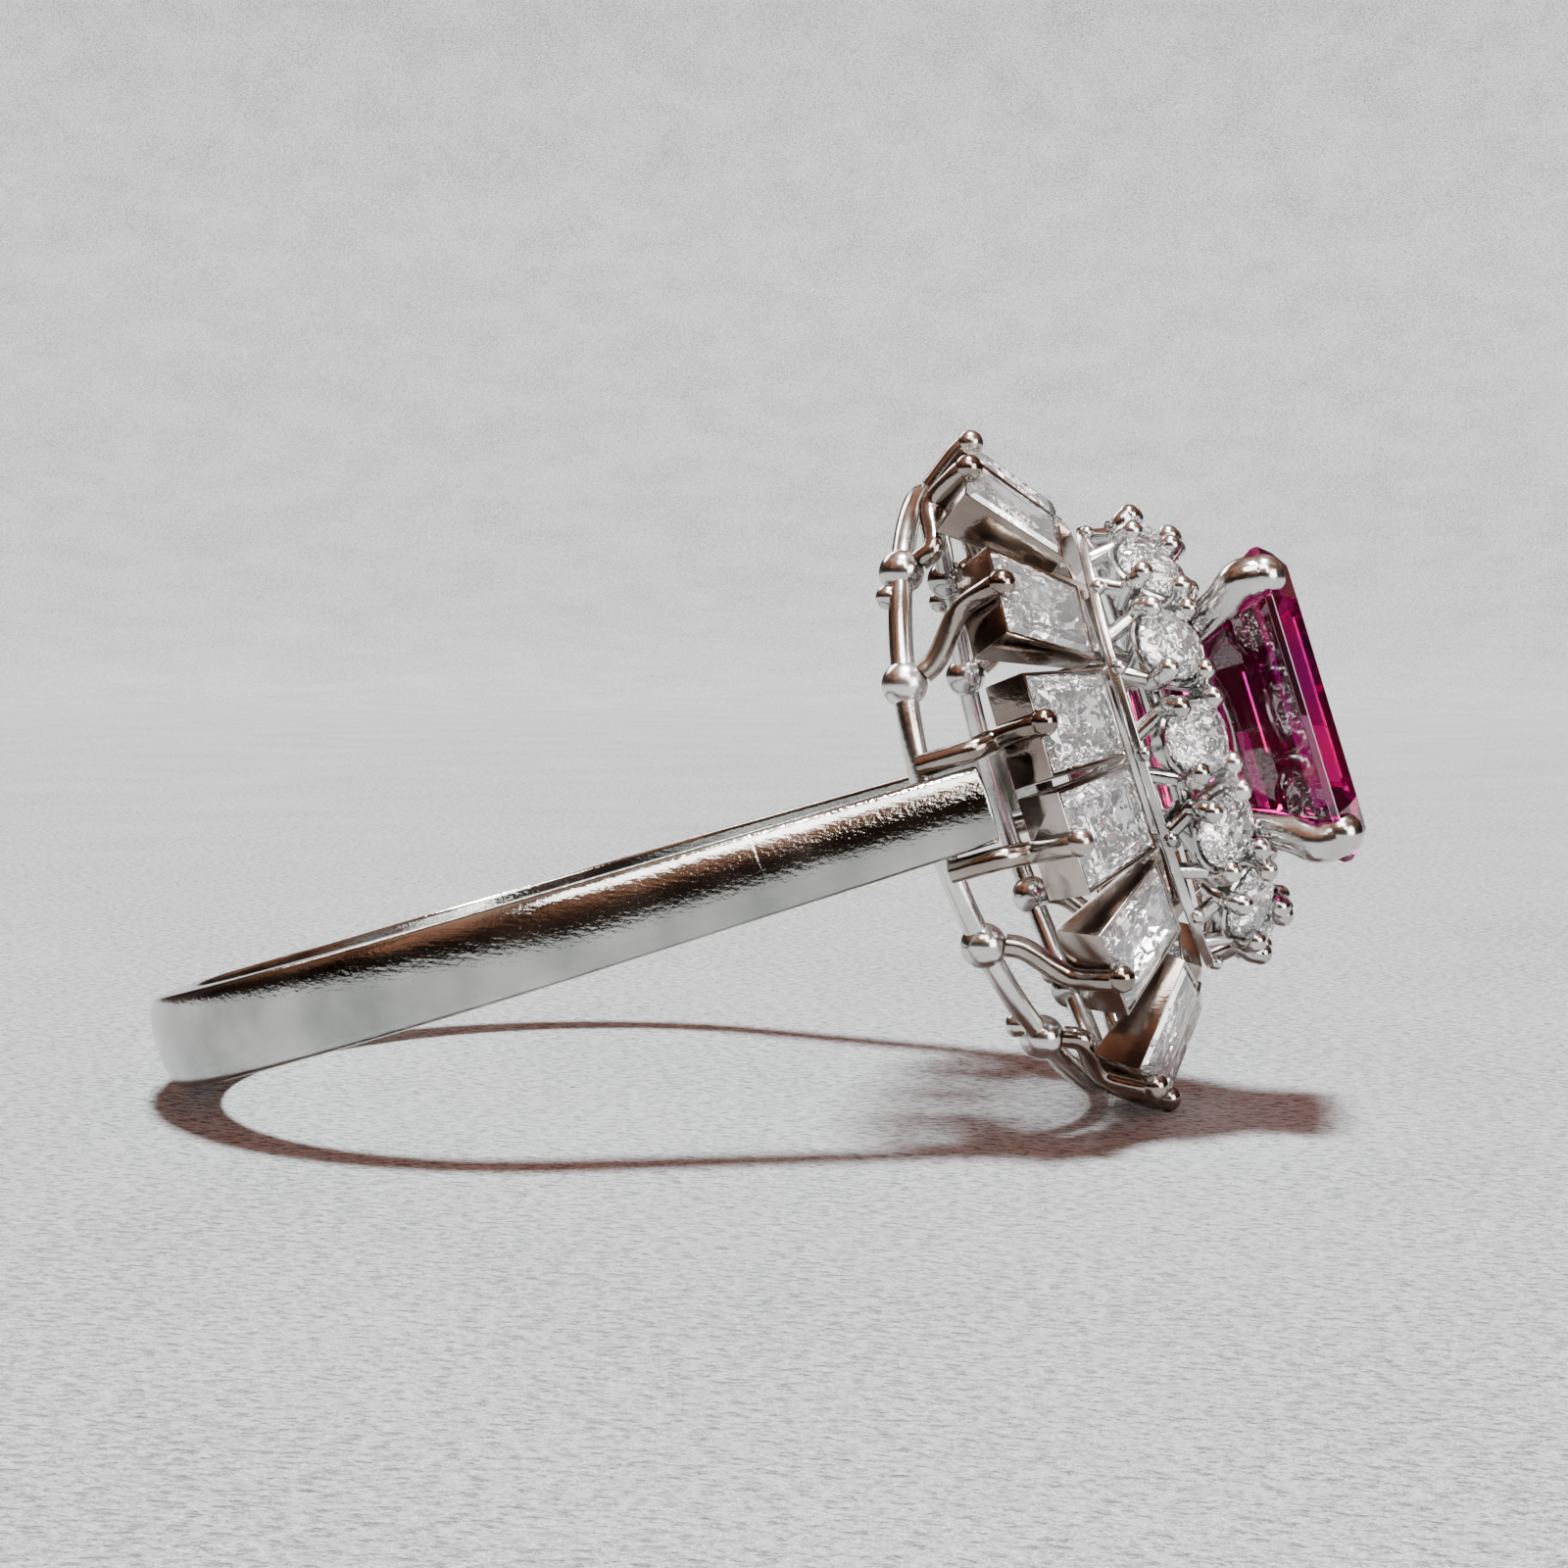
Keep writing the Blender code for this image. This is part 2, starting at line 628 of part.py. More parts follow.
def main():
    clear_scene()
    platinum = material("platinum", (0.78, 0.77, 0.75), 1.0, 0.12)
    diamond = material("diamond", (0.95, 0.97, 1.0), 0.0, 0.0, 2.42, 1.0)
    red = material("ruby", (0.72, 0.02, 0.24), 0.0, 0.0, 1.77, 1.0)
    identity = Matrix.Identity(4)
    placed = [
        (shank("shank"), identity, platinum),
        (gallery_rail("gallery_rail"), identity, platinum),
        (inner_rail("inner_rail"), identity, platinum),
        (seat_ring("halo_rail"), identity, platinum),
        (ruby_setting("ruby_setting"), identity, platinum),
        (octagon_ruby("ruby"), Matrix.Translation((0, 0, RUBY_GIRDLE_Z)), red),
    ]
    stone = baguette("baguette_pattern")
    for number, (_, frame, station, x_side, y_side) in enumerate(baguette_frames(), 1):
        held = collet(f"collet_{number:02d}", frame, station, x_side, y_side)
        placed.append((held, frame, platinum))
        placed.append((bpy.data.objects.new(f"baguette_{number:02d}", stone.data.copy()),
                       frame, diamond))
    brilliant = round_brilliant("brilliant_pattern")
    cup = halo_cup("cup_pattern")
    for number, frame in enumerate(halo_frames(), 1):
        placed.append((bpy.data.objects.new(f"halo_cup_{number:02d}", cup.data.copy()),
                       frame, platinum))
        placed.append((bpy.data.objects.new(f"halo_diamond_{number:02d}", brilliant.data.copy()),
                       frame, diamond))
    for pattern in (stone, brilliant, cup):
        bpy.data.objects.remove(pattern, do_unlink=True)

    ring = bpy.data.collections.new("cocktail_ring")
    bpy.context.scene.collection.children.link(ring)
    axis = bpy.data.objects.new("ring_axis", None)
    axis.empty_display_size = 5 * MM
    ring.objects.link(axis)
    sine, cosine = math.sin(LEAN), math.cos(LEAN)
    pose = Matrix(((0, -sine, cosine), (1, 0, 0), (0, cosine, sine))).to_4x4()
    corners = []
    for obj, frame, finish in placed:
        for collection in list(obj.users_collection):
            collection.objects.unlink(obj)
        ring.objects.link(obj)
        obj.data.materials.clear()
        obj.data.materials.append(finish)
        obj.parent = axis
        turn = frame.to_quaternion()
        obj.rotation_mode = "QUATERNION"
        obj.rotation_quaternion = turn
        obj.location = frame.translation * MM
        local = Matrix.Translation(obj.location) @ turn.to_matrix().to_4x4()
        corners.extend(pose @ local @ vert.co for vert in obj.data.vertices)
    low = [min(corner[i] for corner in corners) for i in range(3)]
    high = [max(corner[i] for corner in corners) for i in range(3)]
    axis.rotation_mode = "QUATERNION"
    axis.rotation_quaternion = pose.to_quaternion()
    axis.location = (-(low[0] + high[0]) / 2, -(low[1] + high[1]) / 2, -low[2])


main()
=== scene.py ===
"""Studio scene for the cocktail ring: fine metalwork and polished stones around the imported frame.

Pieces are made in millimetres in the ring's own frame: X across the hand, Y along the finger and
Z out through the ruby's table. The finger_seat mount carries that frame into the row's.
"""

import json
import math

import bmesh
import bpy
from mathutils import Matrix, Vector, noise

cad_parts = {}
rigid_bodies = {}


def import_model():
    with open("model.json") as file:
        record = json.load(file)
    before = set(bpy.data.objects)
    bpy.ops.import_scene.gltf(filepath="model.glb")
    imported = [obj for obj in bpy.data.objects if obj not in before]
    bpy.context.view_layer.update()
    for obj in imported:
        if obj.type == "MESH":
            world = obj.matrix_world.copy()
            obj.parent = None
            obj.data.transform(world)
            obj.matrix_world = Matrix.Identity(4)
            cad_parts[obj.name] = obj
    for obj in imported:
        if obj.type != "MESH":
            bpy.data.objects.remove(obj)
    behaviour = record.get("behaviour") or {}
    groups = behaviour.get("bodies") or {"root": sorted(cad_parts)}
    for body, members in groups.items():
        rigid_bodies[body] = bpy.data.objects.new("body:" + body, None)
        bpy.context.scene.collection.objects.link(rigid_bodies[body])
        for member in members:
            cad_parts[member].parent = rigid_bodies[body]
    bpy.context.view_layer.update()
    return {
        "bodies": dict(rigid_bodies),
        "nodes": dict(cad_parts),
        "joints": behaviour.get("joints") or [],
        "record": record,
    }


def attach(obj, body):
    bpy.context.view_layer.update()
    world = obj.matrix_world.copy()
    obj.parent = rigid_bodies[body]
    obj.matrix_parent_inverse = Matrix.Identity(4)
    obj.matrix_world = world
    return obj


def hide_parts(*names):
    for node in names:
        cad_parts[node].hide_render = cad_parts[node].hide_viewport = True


MM = 0.001
FIT = 0.02

# Shank
OUTER_RADIUS = 10.25
BACK_HALF_WIDTH = 1.14
HEAD_HALF_WIDTH = 0.84
BACK_THICKNESS = 1.3
HEAD_THICKNESS = 1.08
DOME = 0.34
EDGE = 0.12
SHOULDER_ANGLE = math.radians(109.0)
SHOULDER_RUN = 8.6
ARC_STEPS = 180
RUN_STEPS = 90
SEAM_RUN = 3.62
SEAM_WIDTH = 0.014
SEAM_DEPTH = 0.002
WEAR = 0.006

# Gallery rail
RAIL_A = 5.89
RAIL_B = 7.16
RAIL_LOW = 10.05
RAIL_HIGH = 11.19
RAIL_RADIUS = 0.26
BEAD_RADIUS = 0.5
PIP_RADIUS = 0.28
BEAD_B = math.radians(24.1)
BEAD_C = math.radians(48.2)
PIP_TURN = math.radians(43.0)

# Inner rail
INNER_A = 4.12
INNER_B = 5.3
INNER_Z = 14.5
STRIP_HALF_HEIGHT = 0.12
STRIP_HALF_THICK = 0.05
GRAIN_RADIUS = 0.18

# Baguettes: (x, y) of the inner end of the girdle, direction, height there, slope.
# Each step is (inset, height, angle from the table) of one row of facets.
STATIONS = (
    (4.47, 1.06, 6.0, 14.20, 33.0),
    (3.82, 3.14, 32.0, 14.14, 34.0),
    (2.45, 5.06, 66.0, 14.02, 36.0),
    (0.0, 5.76, 90.0, 13.94, 37.0),
)
BAGUETTE_LENGTH = 2.46
BAGUETTE_INNER = 1.78
BAGUETTE_OUTER = 2.06
BAGUETTE_CROWN = 0.24
BAGUETTE_DEPTH = 0.8
CROWN_STEPS = ((0.0, 0.0, 50.0), (0.11, 0.131, 32.0))
PAVILION_STEPS = ((0.0, -0.06, 60.0), (0.12, -0.27, 48.0), (0.34, -0.51, 30.0))

# Collets
WALL = 0.09
WALL_DEPTH_OUT = 1.04
WALL_DEPTH_IN = 0.42
WALL_RISE = 0.06
WALL_BEVEL = 0.028
BAR_RADIUS = 0.25
TIP_RADIUS = 0.31

# Halo
HALO_A = 3.58
HALO_B = 4.68
HALO_Z = 15.8
HALO_TILT = math.radians(45.0)
HALO_COUNT = 12
HALO_CLAW_TURN = math.radians(56.0)
HALO_CLAW_RADIUS = 0.24
HALO_TIP_RADIUS = 0.26
HALO_STRUT_RADIUS = 0.19
COLLAR = ((0.34, -0.9), (0.56, -0.92), (0.95, -0.2), (0.97, -0.1), (0.92, -0.05), (0.86, -0.1))
SEAT_A = 3.1
SEAT_B = 4.14
SEAT_Z = 15.06
SEAT_RADIUS = 0.2
STRUT_RADIUS = 0.13
STRUTS = 8

# Ruby and its claws
RUBY_HALF_WIDTH = 2.85
RUBY_HALF_LENGTH = 3.65
RUBY_CORNER = 1.15
RUBY_GIRDLE_Z = 18.1
RUBY_GIRDLE = 0.16
RUBY_CROWN = 0.5
RUBY_PAVILION = 2.7
RUBY_CLAW_RADIUS = 0.48
BASE_A = 1.7
BASE_B = 2.25
BASE_Z = 14.35
BASE_RADIUS = 0.26
CLAW_STRUT_RADIUS = 0.14

# Camera, from the centre of the hoop
CAMERA_PLACE = (16.765, -59.330, 6.978)
CAMERA_YAW = math.radians(11.006)
CAMERA_PITCH = math.radians(3.439)
CAMERA_ROLL = math.radians(0.270)
LENS = 58.26

# Metals: darker and lighter tone, lowest and highest roughness, depth of the scratches
# Band: real wear in its deep scratches, and painted shade in its tones, set darker than platinum as
# if reflecting the shadowed felt below.
WORN_AND_SHADED = ((0.28, 0.295, 0.275), (0.5, 0.505, 0.475), 0.05, 0.15, 0.7)
BRIGHT = ((0.38, 0.375, 0.36), (0.74, 0.73, 0.71), 0.09, 0.26, 0.3)
# Collet walls: their dark brown tones are painted reflection and shade, standing in for the dim brown
# room the walls mirror; platinum itself is grey.
PAINTED_SHADE_WALLS = ((0.2, 0.16, 0.135), (0.44, 0.39, 0.35), 0.1, 0.24, 0.3)

# Diamonds: tint, roughest polish
CLEAR = ((0.97, 0.98, 1.0), 0.015)

# Softboxes, in metres: (name, place from the hoop and height, height aimed at, size, watts, colour)
SOFTBOXES = (
    ("window", (-0.13, 0.16, 0.16), 0.005, (0.16, 0.06), 0.35, (0.94, 0.97, 1.0)),
    ("front_strip", (0.1, -0.16, 0.16), 0.005, (0.03, 0.12), 0.16, (1.0, 0.97, 0.94)),
    ("ceiling_strip", (0.02, -0.114, 0.166), 0.005, (0.1, 0.08), 0.3, (1.0, 0.94, 0.93)),
    ("right_panel", (0.2, -0.13, 0.07), 0.008, (0.13, 0.13), 0.55, (1.0, 0.99, 0.98)),
)


# --- Mesh helpers ------------------------------------------------------------------------------


def mesh_object(name, bm):
    bmesh.ops.remove_doubles(bm, verts=bm.verts, dist=1e-4)
    bmesh.ops.recalc_face_normals(bm, faces=bm.faces)
    mesh = bpy.data.meshes.new(name)
    bm.to_mesh(mesh)
    bm.free()
    obj = bpy.data.objects.new(name, mesh)
    bpy.context.scene.collection.objects.link(obj)
    return obj


def apply_modifiers(obj):
    graph = bpy.context.evaluated_depsgraph_get()
    mesh = bpy.data.meshes.new_from_object(obj.evaluated_get(graph))
    obj.modifiers.clear()
    obj.data = mesh
    return obj


def combine(base, others, operation):
    """The base with the other objects added or cut away, and those objects removed."""
    for other in others:
        modifier = base.modifiers.new(operation.lower(), "BOOLEAN")
        modifier.operation = operation
        modifier.solver = "EXACT"
        modifier.object = other
        apply_modifiers(base)
        bpy.data.objects.remove(other, do_unlink=True)
    return base


def bevelled(obj, width, segments=2, angle=25.0):
    modifier = obj.modifiers.new("bevel", "BEVEL")
    modifier.width = width
    modifier.segments = segments
    modifier.limit_method = "ANGLE"
    modifier.angle_limit = math.radians(angle)
    modifier.use_clamp_overlap = True
    return apply_modifiers(obj)


def smooth_path(points, steps):
    """Points along a Catmull-Rom curve through the given ones."""
    points = [Vector(point) for point in points]
    padded = [2 * points[0] - points[1], *points, 2 * points[-1] - points[-2]]
    path = []
    for a, b, c, d in zip(padded, padded[1:], padded[2:], padded[3:]):
        for step in range(steps):
            t = step / steps
            path.append(
                0.5 * (2 * b + (c - a) * t + (2 * a - 5 * b + 4 * c - d) * t * t
                       + (3 * b - a - 3 * c + d) * t ** 3)
            )
    path.append(points[-1])
    return path


def wire(name, path, radius, cyclic=False, swell=None):
    """A round wire along the path, swell being its relative radii."""
    curve = bpy.data.curves.new(name, "CURVE")
    curve.dimensions = "3D"
    curve.bevel_depth = radius
    curve.bevel_resolution = 5
    curve.use_fill_caps = True
    spline = curve.splines.new("POLY")
    spline.points.add(len(path) - 1)
    for point, place, share in zip(spline.points, path, swell or [1.0] * len(path)):
        point.co = (*place, 1.0)
        point.radius = share
    spline.use_cyclic_u = cyclic
    guide = bpy.data.objects.new(name, curve)
    bpy.context.scene.collection.objects.link(guide)
    graph = bpy.context.evaluated_depsgraph_get()
    mesh = bpy.data.meshes.new_from_object(guide.evaluated_get(graph))
    bpy.data.objects.remove(guide, do_unlink=True)
    bm = bmesh.new()
    bm.from_mesh(mesh)
    return mesh_object(name, bm)


def ball(name, centre, radius, detail=4):
    bm = bmesh.new()
    bmesh.ops.create_icosphere(
        bm, subdivisions=detail, radius=radius, matrix=Matrix.Translation(centre)
    )
    return mesh_object(name, bm)


def lofted(name, rings, closed):
    """A skin over rings of equally many points, closed in a loop or capped at both ends."""
    bm = bmesh.new()
    rows = [[bm.verts.new(point) for point in ring] for ring in rings]
    pairs = list(zip(rows, rows[1:]))
    if closed:
        pairs.append((rows[-1], rows[0]))
    for row, following in pairs:
        for index in range(len(row)):
            after = (index + 1) % len(row)
            bm.faces.new((row[index], row[after], following[after], following[index]))
    if not closed:
        bm.faces.new(rows[0])
        bm.faces.new(rows[-1])
    return mesh_object(name, bm)


def tapered_block(name, x_in, x_out, half_in, half_out, top, low_in, low_out):
    bm = bmesh.new()
    bmesh.ops.create_cube(bm, size=2.0)
    for vert in bm.verts:
        outer = vert.co.x > 0
        half = half_out if outer else half_in
        low = low_out if outer else low_in
        vert.co.x = x_out if outer else x_in
        vert.co.y = half if vert.co.y > 0 else -half
        vert.co.z = top if vert.co.z > 0 else low
    return mesh_object(name, bm)


def cut(bm, point, normal):
    """One facet: everything beyond the plane is ground away."""
    bmesh.ops.bisect_plane(
        bm,
        geom=list(bm.verts) + list(bm.edges) + list(bm.faces),
        dist=1e-5,
        plane_co=point,
        plane_no=normal,
        clear_outer=True,
    )
    edges = [edge for edge in bm.edges if edge.is_boundary]
    if edges:
        bmesh.ops.holes_fill(bm, edges=edges, sides=0)
    bmesh.ops.remove_doubles(bm, verts=bm.verts, dist=2e-4)


def slanted(azimuth, steepness, up):
    return Vector(
        (
            math.sin(steepness) * math.cos(azimuth),
            math.sin(steepness) * math.sin(azimuth),
            math.cos(steepness) * up,
        )
    )


# --- Shapes of the ring ------------------------------------------------------------------------


def oval_point(a, b, angle, low, high):
    rise = low + (high - low) * math.sin(angle) ** 2
    return Vector((a * math.cos(angle), b * math.sin(angle), rise))


def oval_path(a, b, low, high, steps):
    return [oval_point(a, b, math.tau * step / steps, low, high) for step in range(steps)]


def rail_point(angle):
    return oval_point(RAIL_A, RAIL_B, angle, RAIL_LOW, RAIL_HIGH)


def quadrants(angle):
    return (angle, math.pi - angle, math.pi + angle, -angle)


def leaning_frame(place, azimuth, slope):
    """X runs outward and down the slope, Y along the rim, Z out of the table."""
    radial = Vector((math.cos(azimuth), math.sin(azimuth), 0))
    up = Vector((0, 0, 1))
    x_axis = math.cos(slope) * radial - math.sin(slope) * up
    z_axis = math.sin(slope) * radial + math.cos(slope) * up
    y_axis = z_axis.cross(x_axis)
    turn = Matrix((x_axis, y_axis, z_axis)).transposed().to_4x4()
    return Matrix.Translation(place) @ turn


def baguette_frames():
    """(azimuth, frame at the middle of the girdle, station number, side signs) round the skirt."""
    frames = []
    for number, (x, y, degrees, height, slope) in enumerate(STATIONS):
        x_sides = (1, -1) if x else (1,)
        for x_side in x_sides:
            for y_side in (1, -1):
                azimuth = math.atan2(
                    y_side * math.sin(math.radians(degrees)),
                    x_side * math.cos(math.radians(degrees)) if x else 0.0,
                )
                inner = Vector((x_side * x, y_side * y, height))
                start = leaning_frame(inner, azimuth, math.radians(slope))
                middle = start @ Matrix.Translation((BAGUETTE_LENGTH / 2, 0, 0))
                frames.append((azimuth % math.tau, middle, number, x_side, y_side))
    frames.sort(key=lambda item: item[0])
    return frames


def even_turns(a, b, count):
    """Ellipse angles that share the rim into equal lengths, the first at zero."""
    fine = 2880
    reach = [0.0]
    for step in range(fine):
        one = oval_point(a, b, math.tau * step / fine, 0, 0)
        two = oval_point(a, b, math.tau * (step + 1) / fine, 0, 0)
        reach.append(reach[-1] + (two - one).length)
    turns = []
    for number in range(count):
        wanted = reach[-1] * number / count
        step = next(i for i, length in enumerate(reach) if length >= wanted - 1e-9)
        turns.append(math.tau * step / fine)
    return turns


def halo_frames():
    frames = []
    for turn in even_turns(HALO_A, HALO_B, HALO_COUNT):
        place = Vector((HALO_A * math.cos(turn), HALO_B * math.sin(turn), HALO_Z))
        azimuth = math.atan2(math.sin(turn) / HALO_B, math.cos(turn) / HALO_A)
        frames.append(leaning_frame(place, azimuth, HALO_TILT))
    return frames


def band_section(half_width, thickness):
    """(across, out) points of the D section, with softened inner edges and a domed back."""
    shoulder = thickness - DOME
    points = []
    for side in (-1, 1):
        for step in range(6):
            angle = math.pi / 2 * (step / 5 if side > 0 else 1 - step / 5)
            points.append(
                (side * (half_width - EDGE + EDGE * math.sin(angle)), EDGE - EDGE * math.cos(angle))
            )
    steps = 36
    for step in range(steps + 1):
        angle = math.pi * step / steps
        points.append((half_width * math.cos(angle), shoulder + DOME * math.sin(angle) ** 0.9))
    return points


def band_stations():
    """(outer point, outward direction, share of the way to the head, sink) along the band."""
    runs = [SHOULDER_RUN * step / RUN_STEPS for step in range(1, RUN_STEPS + 1)]
    seam = [SEAM_RUN + SEAM_WIDTH * shift for shift in (-1.0, -0.5, 0.0, 0.5, 1.0)]
    seamed = [run for run in runs if abs(run - SEAM_RUN) > 1.5 * SEAM_WIDTH]
    stations = [(-SHOULDER_ANGLE, run) for run in sorted(seamed + seam, reverse=True)]
    for step in range(ARC_STEPS + 1):
        stations.append((SHOULDER_ANGLE * (2 * step / ARC_STEPS - 1), 0.0))
    stations.extend((SHOULDER_ANGLE, run) for run in runs)
    total = SHOULDER_ANGLE * OUTER_RADIUS + SHOULDER_RUN
    for angle, run in stations:
        outward = Vector((math.sin(angle), 0, -math.cos(angle)))
        onward = Vector((math.cos(angle), 0, math.sin(angle))) * math.copysign(1, angle)
        share = (abs(angle) * OUTER_RADIUS + run) / total
        nearness = max(0.0, 1.0 - abs(run - SEAM_RUN) / SEAM_WIDTH) if angle < 0 else 0.0
        yield OUTER_RADIUS * outward + run * onward, outward, share, SEAM_DEPTH * nearness


def band():
    """The shank: a domed band, fine enough to hold a clean highlight, with its solder seam."""
    rings = []
    for place, outward, share, sink in band_stations():
        half_width = BACK_HALF_WIDTH + (HEAD_HALF_WIDTH - BACK_HALF_WIDTH) * share - sink
        thickness = BACK_THICKNESS + (HEAD_THICKNESS - BACK_THICKNESS) * share ** 2
        ring = []
        for across, out in band_section(half_width, thickness):
            wear = WEAR * noise.noise(place * 0.55 + Vector((0, across, 7.0)))
            drop = thickness - out + sink + wear
            ring.append(place - drop * outward + Vector((0, across, 0)))
        rings.append(ring)
    return bevelled(lofted("shank_band", rings, False), 0.05, 3, 60.0)


def gallery_wire():
    path = oval_path(RAIL_A, RAIL_B, RAIL_LOW, RAIL_HIGH, 240)
    rail = wire("gallery_wire", path, RAIL_RADIUS, True)
    beads = []
    for angle in (*quadrants(BEAD_B), *quadrants(BEAD_C)):
        beads.append(ball("bead", rail_point(angle), BEAD_RADIUS))
    for angle in quadrants(PIP_TURN):
        beads.append(ball("pip", rail_point(angle) - Vector((0, 0, 0.28)), PIP_RADIUS))
    return combine(rail, beads, "UNION")


def stem_start(number, x_side, y_side):
    """Where a claw bar leaves the shoulder, a bead or the rail."""
    if number == 0:
        return [Vector((x_side * 6.5, y_side * 1.16, 10.2)),
                Vector((x_side * 6.62, y_side * 1.17, 11.3))]
    if number == 3:
        rail = rail_point(y_side * math.pi / 2)
        return [rail + Vector((0, y_side * 0.12, 0.2))]
    angle = math.atan2(y_side, x_side)
    bead_angle = BEAD_B if number == 1 else BEAD_C
    bead = rail_point(math.atan2(y_side * math.sin(bead_angle), x_side * math.cos(bead_angle)))
    lean = Vector((x_side * 0.02, y_side * 0.12, 0.5)).normalized()
    start = bead + (BEAD_RADIUS - 0.04) * lean
    middle = start + Vector((x_side * 0.1 * math.cos(angle), y_side * 0.24, 0.4))
    return [start, middle]


def collet(name, frame, number, x_side, y_side):
    """A thin-walled box with crisp bevelled rims, and the claw bar up its outer end."""
    half = BAGUETTE_LENGTH / 2
    inner = BAGUETTE_INNER / 2 + FIT
    outer = BAGUETTE_OUTER / 2 + FIT
    body = tapered_block(
        name, -half - FIT - WALL, half + FIT + WALL, inner + WALL, outer + WALL,
        WALL_RISE, -WALL_DEPTH_IN, -WALL_DEPTH_OUT,
    )
    hollow = tapered_block(
        "hollow", -half - FIT, half + FIT, inner, outer, 1.0, -2.0, -2.0
    )
    combine(body, [hollow], "DIFFERENCE")
    bevelled(body, WALL_BEVEL, 2)
    reach = half + FIT + WALL + 0.6 * BAR_RADIUS
    start = [frame.inverted() @ point for point in stem_start(number, x_side, y_side)]
    path = smooth_path(
        [
            *start,
            Vector((reach + 0.03, 0, 0.08 - WALL_DEPTH_OUT)),
            Vector((reach, 0, -0.1)),
            Vector((half + 0.14, 0, 0.25)),
        ],
        10,
    )
    bar = wire("bar", path, BAR_RADIUS)
    tip = ball("tip", path[-1], TIP_RADIUS)
    return combine(body, [bar, tip], "UNION")


def step_cut_baguette(name):
    """A tapered baguette with two crown steps and three pavilion steps down to a keel."""
    half = BAGUETTE_LENGTH / 2
    middle = (BAGUETTE_INNER + BAGUETTE_OUTER) / 4
    flare = math.atan2((BAGUETTE_OUTER - BAGUETTE_INNER) / 2, BAGUETTE_LENGTH)
    sides = (
        (Vector((half, 0, 0)), 0.0),
        (Vector((-half, 0, 0)), math.pi),
        (Vector((0, middle, 0)), math.pi / 2 + flare),
        (Vector((0, -middle, 0)), -math.pi / 2 - flare),
    )
    bm = bmesh.new()
    bmesh.ops.create_cube(bm, size=4.0)
    cut(bm, (0, 0, BAGUETTE_CROWN), (0, 0, 1))
    cut(bm, (0, 0, -BAGUETTE_DEPTH), (0, 0, -1))
    for point, azimuth in sides:
        cut(bm, point, slanted(azimuth, math.pi / 2, 0))
    for point, azimuth in sides:
        outward = slanted(azimuth, math.pi / 2, 0)
        for steps, up in ((CROWN_STEPS, 1), (PAVILION_STEPS, -1)):
            for inset, rise, angle in steps:
                place = point - inset * outward + Vector((0, 0, rise))
                cut(bm, place, slanted(azimuth, math.radians(angle), up))
    return bevelled(mesh_object(name, bm), 0.006, 1)


def halo_cup():
    """A collar with a rolled rim, four ball-ended claws and two struts out to the inner strip."""
    rings = []
    steps = 48
    for step in range(steps):
        angle = math.tau * step / steps
        rings.append([Vector((r * math.cos(angle), r * math.sin(angle), z)) for r, z in COLLAR])
    cup = lofted("halo_cup", rings, True)
    claws = []
    for turn in range(4):
        azimuth = HALO_CLAW_TURN * (1, -1)[turn % 2] + math.pi * (turn // 2)
        along = Vector((math.cos(azimuth), math.sin(azimuth), 0))
        up = Vector((0, 0, 1))
        path = smooth_path(
            [
                along * 0.5 - up * 0.8,
                along * 0.88 - up * 0.34,
                along * 1.02 + up * 0.02,
                along * 0.9 + up * 0.26,
            ],
            6,
        )
        claws.append(wire("claw", path, HALO_CLAW_RADIUS))
        claws.append(ball("tip", path[-1], HALO_TIP_RADIUS, 3))
        if along.x > 0:
            foot = Vector((1.2, 0.5 * along.y, -0.66))
            claws.append(wire("strut", [foot, 0.95 * along - 0.25 * up], HALO_STRUT_RADIUS))
    return combine(cup, claws, "UNION")


def inner_strip():
    """The thin upright strip between the skirt and the halo, with a grain at each joint."""
    rings = []
    steps = 220
    for step in range(steps):
        turn = math.tau * step / steps
        centre = oval_point(INNER_A, INNER_B, turn, INNER_Z, INNER_Z)
        outward = Vector((math.cos(turn) / INNER_A, math.sin(turn) / INNER_B, 0)).normalized()
        ring = []
        for corner in range(16):
            angle = math.tau * corner / 16
            across = STRIP_HALF_THICK * math.copysign(abs(math.cos(angle)) ** 0.6, math.cos(angle))
            rise = STRIP_HALF_HEIGHT * math.copysign(abs(math.sin(angle)) ** 0.35, math.sin(angle))
            ring.append(centre + across * outward + Vector((0, 0, rise)))
        rings.append(ring)
    strip = lofted("inner_strip", rings, True)
    frames = baguette_frames()
    grains = []
    for one, following in zip(frames, frames[1:] + frames[:1]):
        first = one[1] @ Vector((-BAGUETTE_LENGTH / 2, 0, 0))
        second = following[1] @ Vector((-BAGUETTE_LENGTH / 2, 0, 0))
        middle = (first + second) / 2
        turn = math.atan2(middle.y / INNER_B, middle.x / INNER_A)
        place = oval_point(INNER_A, INNER_B, turn, INNER_Z, INNER_Z)
        grains.append(ball("grain", place + Vector((0, 0, 0.12)), GRAIN_RADIUS, 3))
    return combine(strip, grains, "UNION")


def halo_bearer():
    ring = wire("halo_bearer", oval_path(SEAT_A, SEAT_B, SEAT_Z, SEAT_Z, 180), SEAT_RADIUS, True)
    struts = []
    for step in range(STRUTS):
        turn = math.tau * (step + 0.4) / STRUTS
        start = oval_point(SEAT_A, SEAT_B, turn, SEAT_Z - 0.05, SEAT_Z - 0.05)
        end = oval_point(INNER_A, INNER_B, turn, INNER_Z, INNER_Z)
        struts.append(wire("strut", [start, end], STRUT_RADIUS))
    return combine(ring, struts, "UNION")


